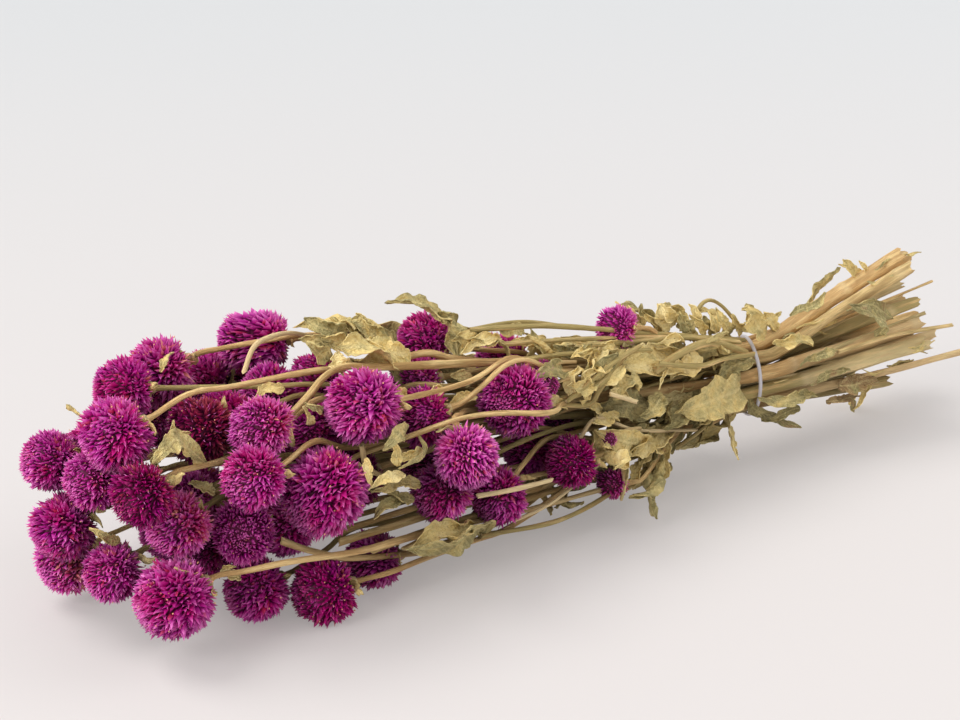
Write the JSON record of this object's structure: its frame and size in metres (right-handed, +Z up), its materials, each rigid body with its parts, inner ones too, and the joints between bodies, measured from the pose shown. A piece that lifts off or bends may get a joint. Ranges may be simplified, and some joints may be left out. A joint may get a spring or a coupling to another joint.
{
  "type": "bunch of dried globe amaranth",
  "caption": "Dried bunch of globe amaranth lying on its side: round magenta flower heads of pointed papery bracts on branching straw stems with withered leaves, held by a narrow band",
  "frame": {"origin": "centre of the bounding box on the surface that the bunch lies on", "axes": "X runs along the bunch, from the flower heads at the low end to the cut stalks at the high end; Y across it; Z up"},
  "size_m": [0.3914, 0.1238, 0.0964],
  "materials": {
    "flower_bright": "papery, matte",
    "flower_deep": "papery, matte",
    "flower_shaded": "papery, matte",
    "stem_tan": "dry, matte",
    "stem_olive": "dry, matte",
    "band": "smooth elastic"
  },
  "bodies": {
    "root": {"head_01": "flower_deep", "head_02": "flower_shaded", "head_03": "flower_bright", "head_04": "flower_deep", "head_05": "flower_shaded", "head_06": "flower_bright", "head_07": "flower_deep", "head_08": "flower_shaded", "head_09": "flower_bright", "head_10": "flower_deep", "head_11": "flower_shaded", "head_12": "flower_bright", "head_13": "flower_deep", "head_14": "flower_shaded", "head_15": "flower_bright", "head_16": "flower_deep", "head_18": "flower_bright", "head_19": "flower_deep", "head_20": "flower_shaded", "head_21": "flower_bright", "head_22": "flower_deep", "head_23": "flower_shaded", "head_24": "flower_bright", "head_25": "flower_deep", "head_26": "flower_shaded", "head_27": "flower_bright", "head_28": "flower_deep", "head_29": "flower_shaded", "head_30": "flower_bright", "head_31": "flower_deep", "head_32": "flower_shaded", "head_33": "flower_bright", "head_34": "flower_deep", "head_36": "flower_bright", "head_37": "flower_deep", "head_38": "flower_shaded", "head_39": "flower_bright", "head_40": "flower_deep", "head_41": "flower_shaded", "head_pair_17": "flower_shaded", "head_pair_35": "flower_shaded", "head_pair_42": "flower_bright", "head_pair_43": "flower_deep", "head_pair_44": "flower_shaded", "head_pair_45": "flower_bright", "head_pair_46": "flower_deep", "head_pair_47": "flower_shaded", "head_pair_48": "flower_bright", "leafy_stem_01": "stem_tan", "leafy_stem_02": "stem_olive", "leafy_stem_03": "stem_tan", "leafy_stem_04": "stem_olive", "leafy_stem_05": "stem_tan", "leafy_stem_06": "stem_olive", "leafy_stem_07": "stem_tan", "leafy_stem_08": "stem_olive", "leafy_stem_09": "stem_tan", "leafy_stem_10": "stem_olive", "leafy_stem_11": "stem_tan", "tie_band": "band"}
  },
  "joints": []
}
